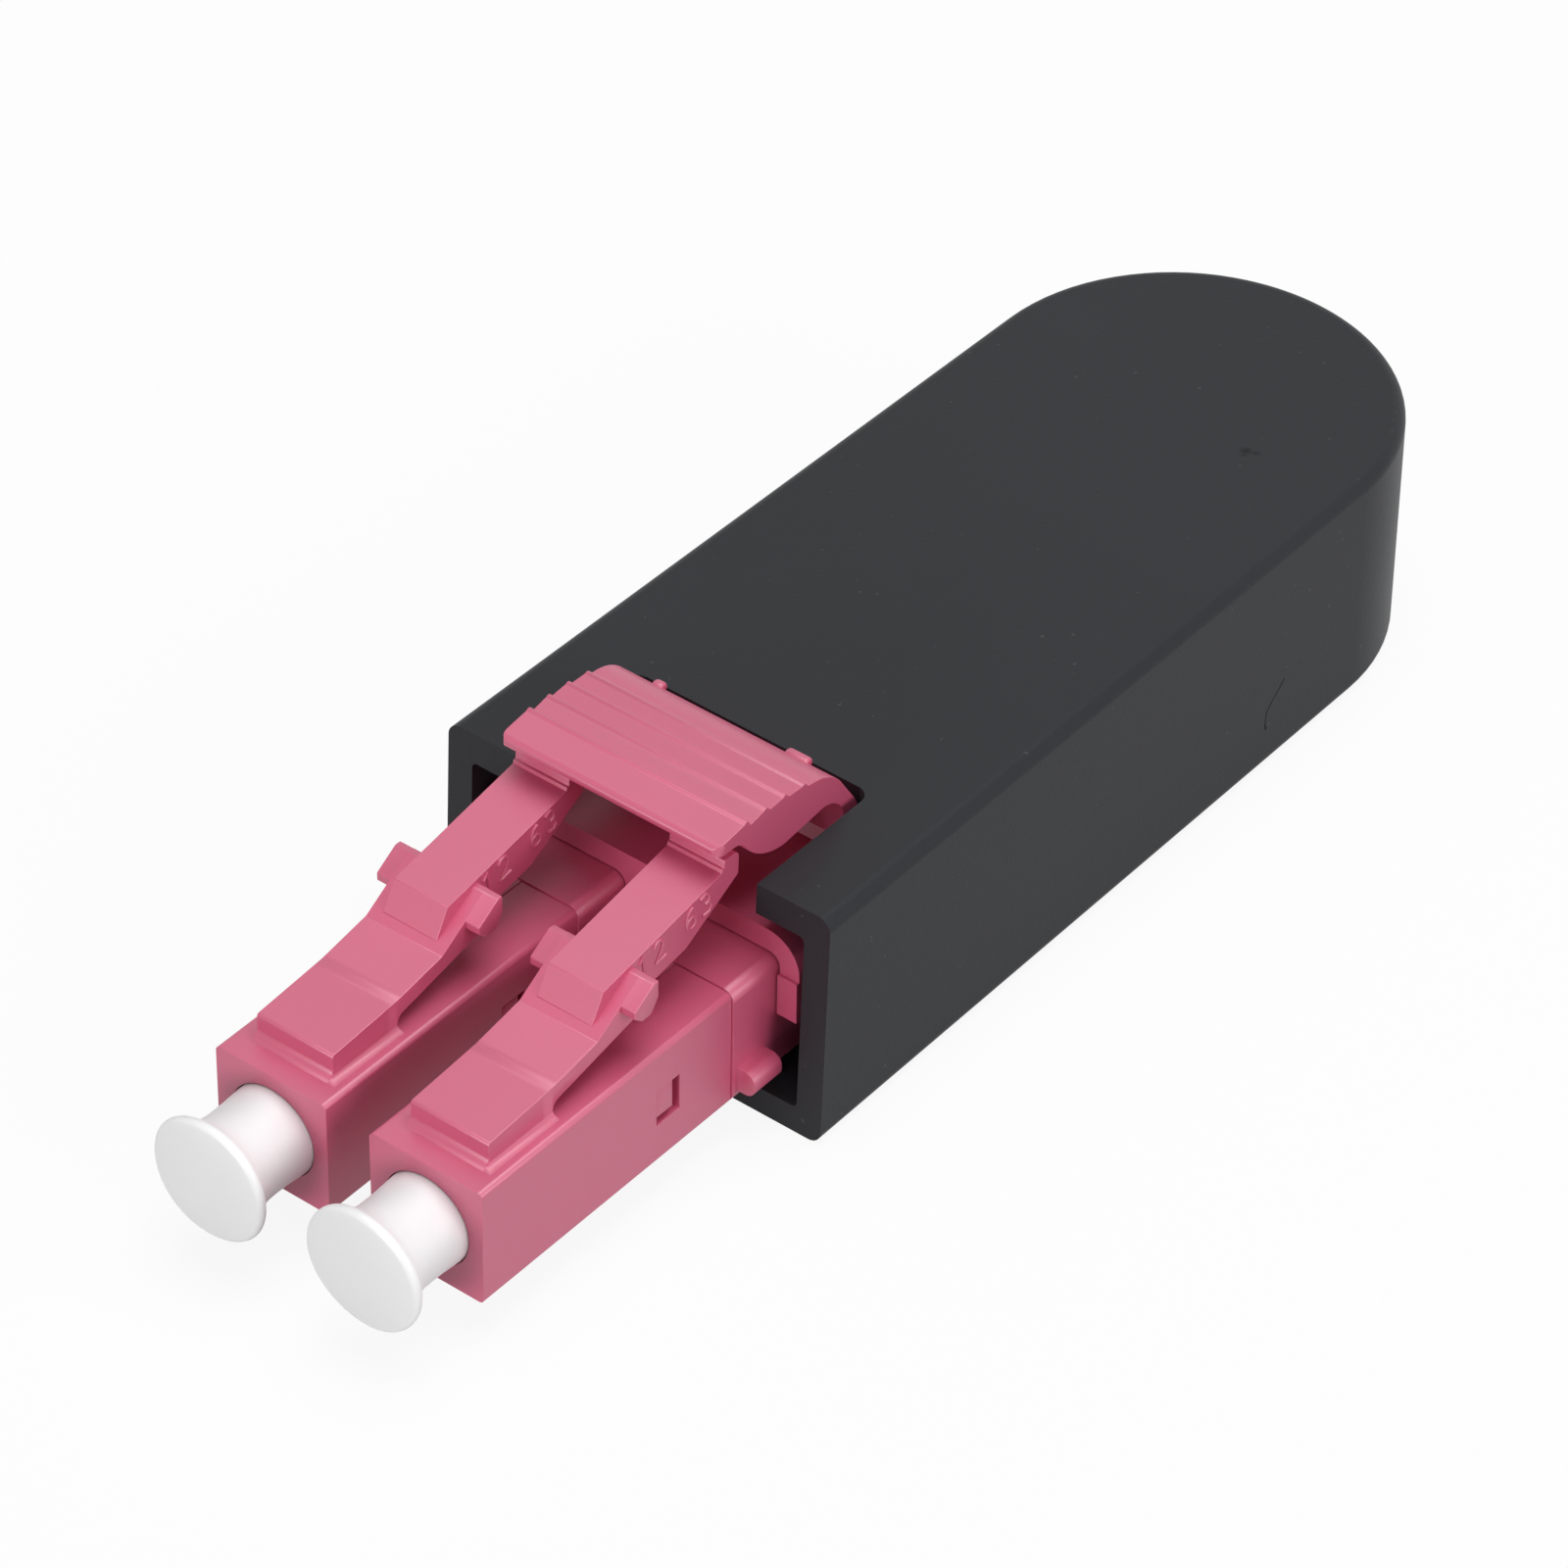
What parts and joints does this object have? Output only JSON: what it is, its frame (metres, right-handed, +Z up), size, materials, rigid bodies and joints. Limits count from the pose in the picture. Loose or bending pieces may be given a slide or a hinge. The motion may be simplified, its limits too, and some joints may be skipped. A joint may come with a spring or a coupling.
{
  "type": "fibre loopback plug",
  "caption": "Duplex small-form fibre loopback plug: pink connectors with flexing latches and a shared release trigger, dust caps, and a black shell whose round end holds the fibre loop.",
  "frame": {"origin": "under the middle of the plug's overall length and width, on the surface it rests on", "axes": "+Y from the connector noses to the round end, +Z up through the shell's roof, +X across to the right-hand connector seen with the noses towards the viewer"},
  "size_m": [0.0154, 0.0532, 0.0113],
  "materials": {
    "shell": "satin moulded black",
    "connector": "semi-gloss moulded pink",
    "ceramic": "polished white zirconia ceramic",
    "holder": "nickel plated",
    "spring": "drawn spring wire",
    "boot": "matt",
    "fibre": "tight buffer, smooth",
    "cap": "smooth white polyethylene"
  },
  "bodies": {
    "shell": {"housing": "shell", "duplex_clip": "connector", "plug_body_left": "connector", "plug_body_right": "connector", "rear_body_left": "connector", "rear_body_right": "connector", "boot_left": "boot", "boot_right": "boot", "fibre_loop": "fibre", "spring_left": "spring", "spring_right": "spring"},
    "lever": {"trigger": "connector"},
    "arm_left": {"latch_left": "connector"},
    "arm_right": {"latch_right": "connector"},
    "cap_left": {"dust_cap_left": "cap"},
    "cap_right": {"dust_cap_right": "cap"},
    "core_left": {"ferrule_left": "ceramic", "ferrule_holder_left": "holder"},
    "core_right": {"ferrule_right": "ceramic", "ferrule_holder_right": "holder"}
  },
  "joints": [
    {"name": "trigger_press", "type": "hinge", "parent": "shell", "child": "lever", "pos_m": [0, -0.00437, 0.00746], "axis": [1, 0, 0], "range_deg": [0, 12], "stiffness_Nm_per_rad": 0.01},
    {"name": "latch_bend_left", "type": "hinge", "parent": "shell", "child": "arm_left", "pos_m": [-0.00313, -0.01925, 0.0068], "axis": [-1, 0, 0], "range_deg": [0, 11], "stiffness_Nm_per_rad": 0.005},
    {"name": "latch_bend_right", "type": "hinge", "parent": "shell", "child": "arm_right", "pos_m": [0.00313, -0.01925, 0.0068], "axis": [-1, 0, 0], "range_deg": [0, 11], "stiffness_Nm_per_rad": 0.005},
    {"name": "cap_pull_left", "type": "slide", "parent": "shell", "child": "cap_left", "axis": [0, -1, 0], "range_m": [0, 0.006]},
    {"name": "cap_pull_right", "type": "slide", "parent": "shell", "child": "cap_right", "axis": [0, -1, 0], "range_m": [0, 0.006]},
    {"name": "ferrule_float_left", "type": "slide", "parent": "shell", "child": "core_left", "axis": [0, 1, 0], "range_m": [0, 0.0005], "stiffness_N_per_m": 2000, "deforming": ["spring_left"]},
    {"name": "ferrule_float_right", "type": "slide", "parent": "shell", "child": "core_right", "axis": [0, 1, 0], "range_m": [0, 0.0005], "stiffness_N_per_m": 2000, "deforming": ["spring_right"]}
  ],
  "couplings": [
    {"joint": "latch_bend_left", "follows": "trigger_press", "ratio": 0.75},
    {"joint": "latch_bend_right", "follows": "trigger_press", "ratio": 0.75}
  ]
}
